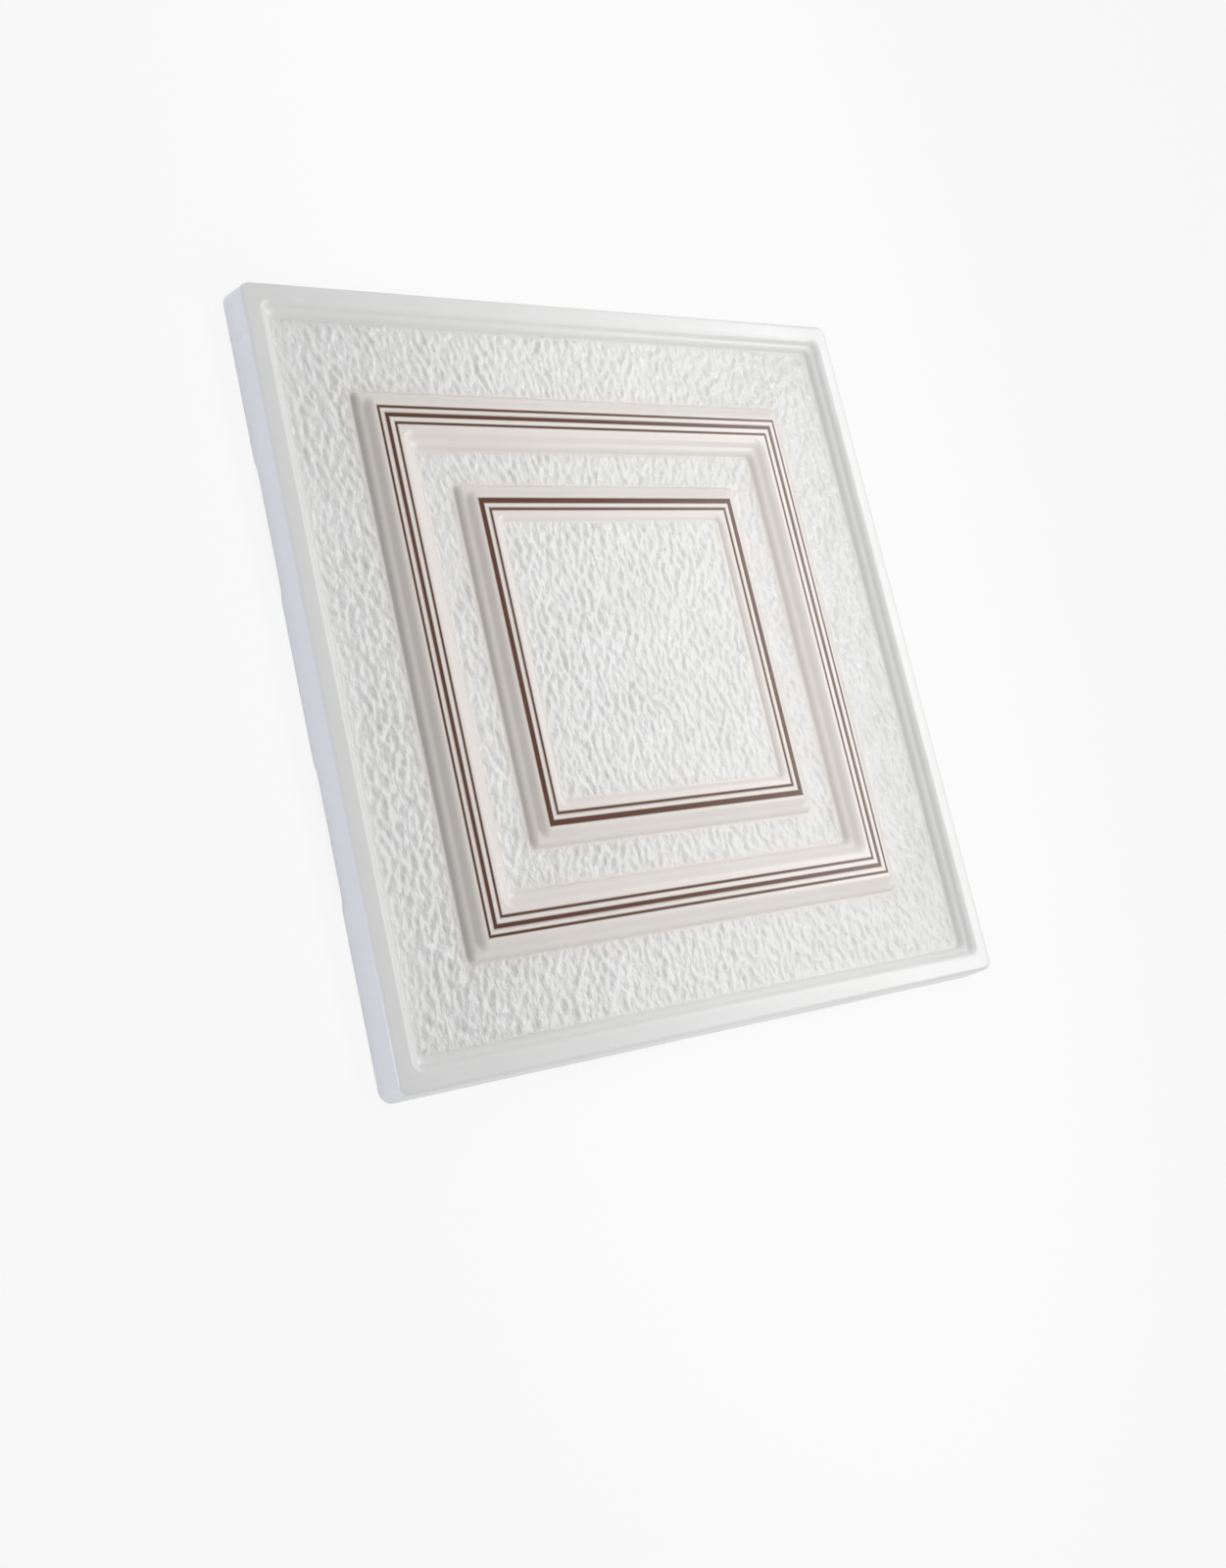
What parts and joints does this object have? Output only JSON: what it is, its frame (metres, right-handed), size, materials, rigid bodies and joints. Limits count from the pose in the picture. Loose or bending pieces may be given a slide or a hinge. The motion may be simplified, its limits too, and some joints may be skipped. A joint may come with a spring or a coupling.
{
  "type": "embossed metal ceiling tile",
  "caption": "Square white clip-in ceiling tile pressed from one metal sheet, with stepped raised frames, brown printed stripes, a textured face and turned-back clip flanges.",
  "frame": {"origin": "centre of the square, level with the flanges' back edge", "axes": "+Z out of the decorated face, +X and +Y along the sides"},
  "size_m": [0.3, 0.3, 0.013],
  "materials": {
    "coated_sheet": "satin white coating with printed brown stripes"
  },
  "bodies": {
    "root": {"tile_panel": "coated_sheet"}
  },
  "joints": []
}
